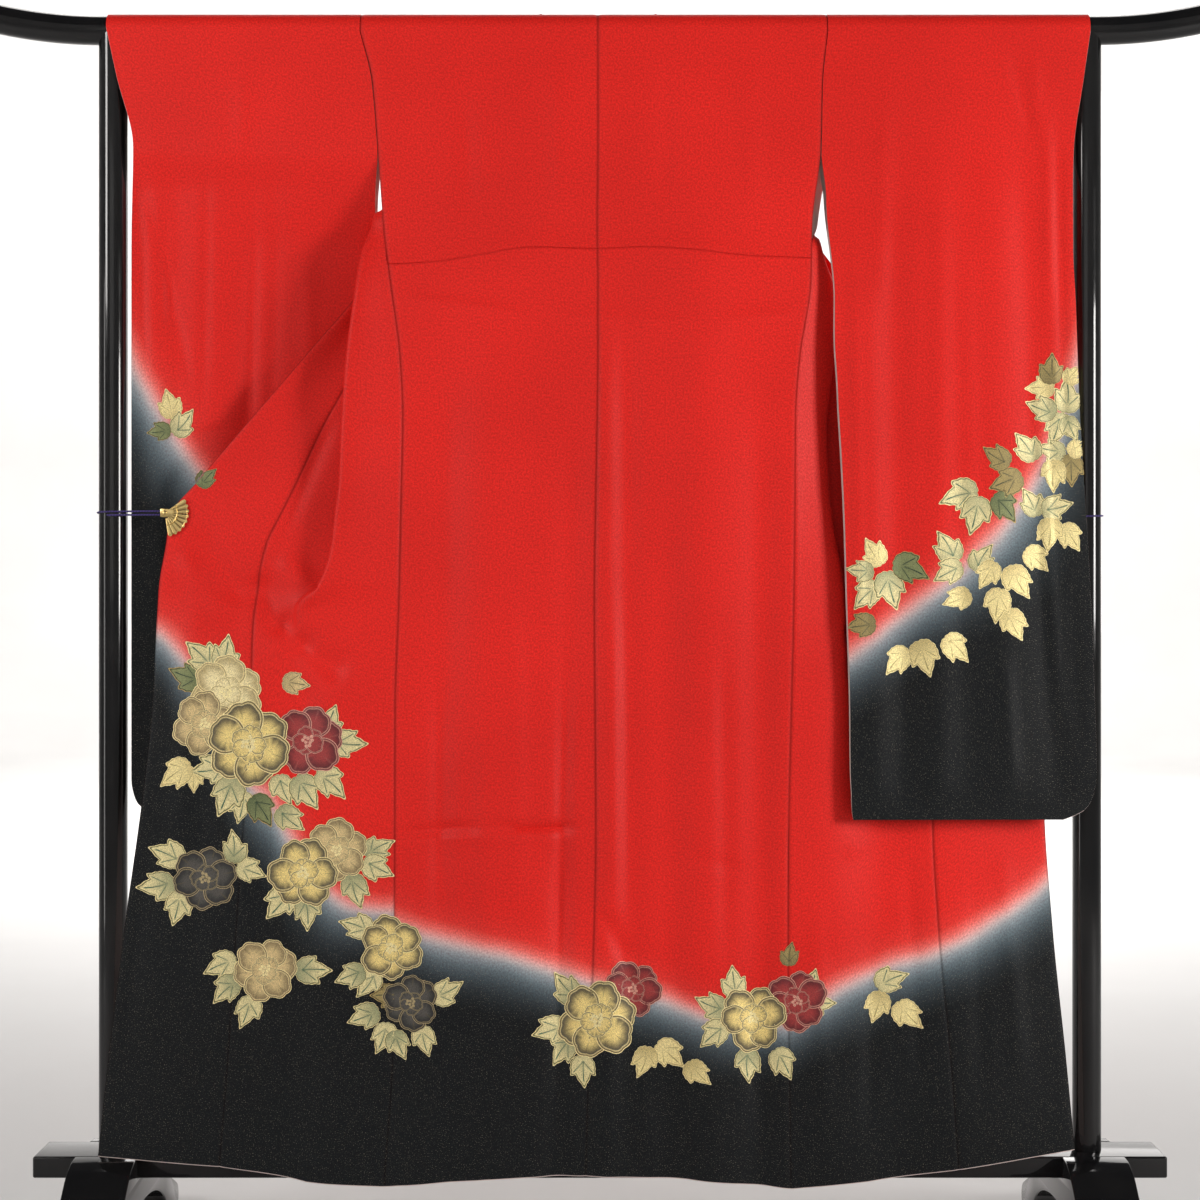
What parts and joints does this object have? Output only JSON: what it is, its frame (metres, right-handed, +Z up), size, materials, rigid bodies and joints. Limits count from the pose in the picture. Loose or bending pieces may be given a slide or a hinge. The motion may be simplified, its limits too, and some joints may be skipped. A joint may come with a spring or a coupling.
{
  "type": "furisode kimono on a kimono stand",
  "caption": "Long-sleeved silk kimono hung over a lacquered stand with its back to the front and both fronts drawn out to the sides and clipped to the posts.",
  "frame": {"origin": "on the floor under the middle of the stand", "axes": "+X to the right of someone who looks at the kimono's back, +Y away from them towards the far side, +Z up"},
  "size_m": [1.8684, 0.456, 1.7765],
  "materials": {
    "dyed_silk": "dyed silk crepe, red above and black below, with gold painted flowers",
    "black_lacquer": "gloss black lacquer on wood",
    "gilt": "satin gilt",
    "purple_cord": "braided cord"
  },
  "bodies": {
    "root": {"back_left": "dyed_silk", "back_right": "dyed_silk", "front_left": "dyed_silk", "front_right": "dyed_silk", "okumi_left": "dyed_silk", "okumi_right": "dyed_silk", "sleeve_left_near": "dyed_silk", "sleeve_left_far": "dyed_silk", "sleeve_right_near": "dyed_silk", "sleeve_right_far": "dyed_silk", "collar": "dyed_silk", "rail": "black_lacquer", "post_left": "black_lacquer", "post_right": "black_lacquer", "beam": "black_lacquer", "foot_left": "black_lacquer", "foot_right": "black_lacquer", "clip_left": "gilt", "clip_right": "gilt", "tie_left": "purple_cord", "tie_right": "purple_cord"}
  },
  "joints": []
}
